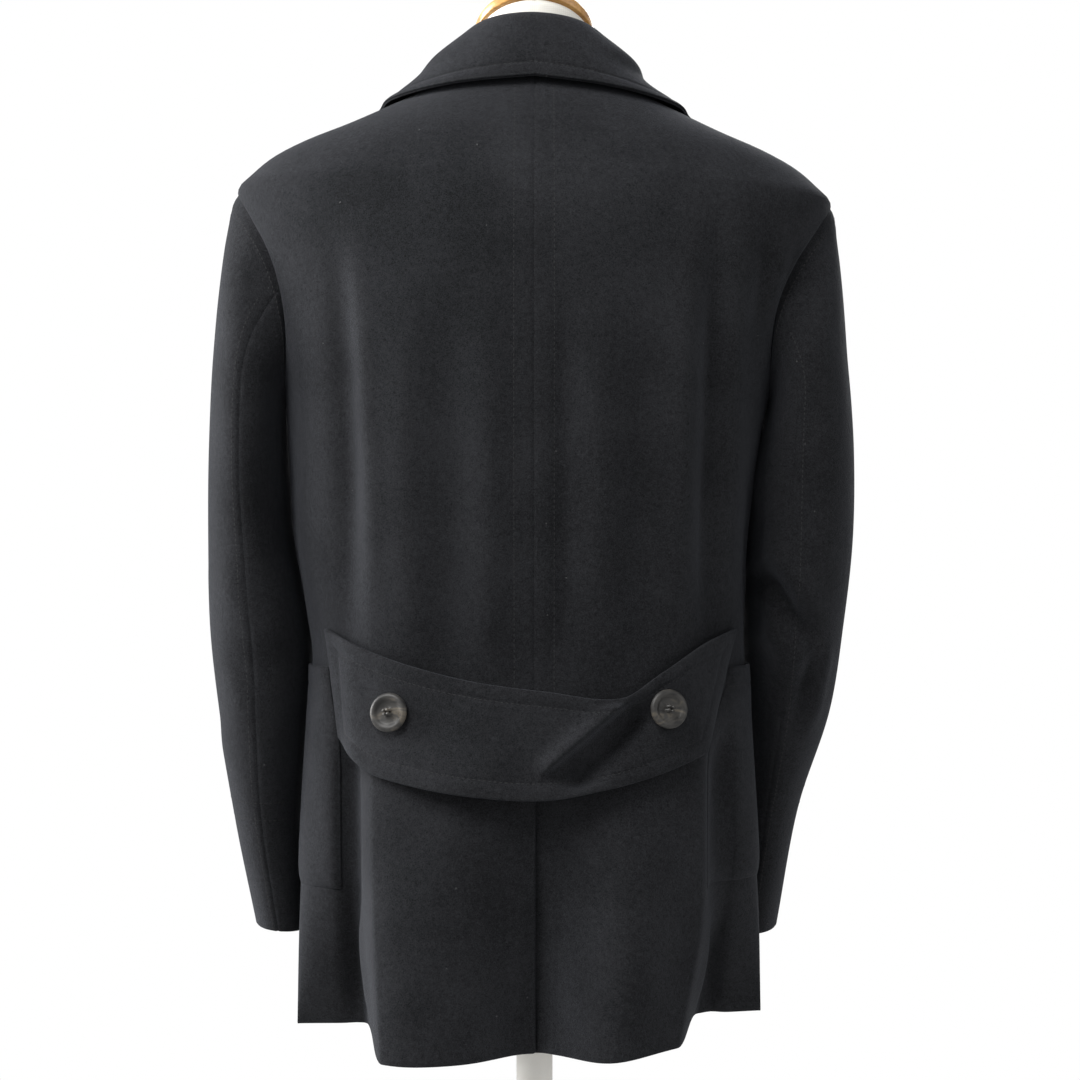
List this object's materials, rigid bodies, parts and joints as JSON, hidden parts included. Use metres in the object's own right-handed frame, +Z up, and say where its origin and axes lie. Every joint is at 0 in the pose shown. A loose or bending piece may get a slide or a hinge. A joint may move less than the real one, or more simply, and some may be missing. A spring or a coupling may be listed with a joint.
{
  "type": "pea coat on a dress form",
  "caption": "Dark wool double-breasted coat with a turned-down collar and a buttoned half belt across the back, worn by a limbless dress form on a pole and round base.",
  "frame": {"origin": "centre of the round base's underside, on the floor", "axes": "+Z up, the front of the coat faces -Y, the wearer's left side is +X"},
  "size_m": [0.5392, 0.388, 1.4759],
  "materials": {
    "wool": "felted wool with a short nap, near black with a slight cool tint",
    "horn": "polished horn, grey-brown with paler streaks",
    "cotton": "cream-white cotton cover, matt",
    "varnished_wood": "amber varnished wood",
    "stand_paint": "off-white satin paint"
  },
  "bodies": {
    "root": {"back_left": "wool", "back_right": "wool", "front_left": "wool", "front_right": "wool", "lapel_left": "wool", "lapel_right": "wool", "pocket_left": "wool", "pocket_right": "wool", "collar_stand": "wool", "collar_fall": "wool", "sleeve_left_top": "wool", "sleeve_left_under": "wool", "sleeve_right_top": "wool", "sleeve_right_under": "wool", "back_belt": "wool", "back_button_left": "horn", "back_button_right": "horn", "front_button_1": "horn", "front_button_2": "horn", "front_button_3": "horn", "front_button_4": "horn", "front_button_5": "horn", "front_button_6": "horn", "form_torso": "cotton", "form_neck": "cotton", "form_neck_cap": "varnished_wood", "form_board": "varnished_wood", "stand_flange": "stand_paint", "stand_pole": "stand_paint", "stand_base": "stand_paint"}
  },
  "joints": []
}
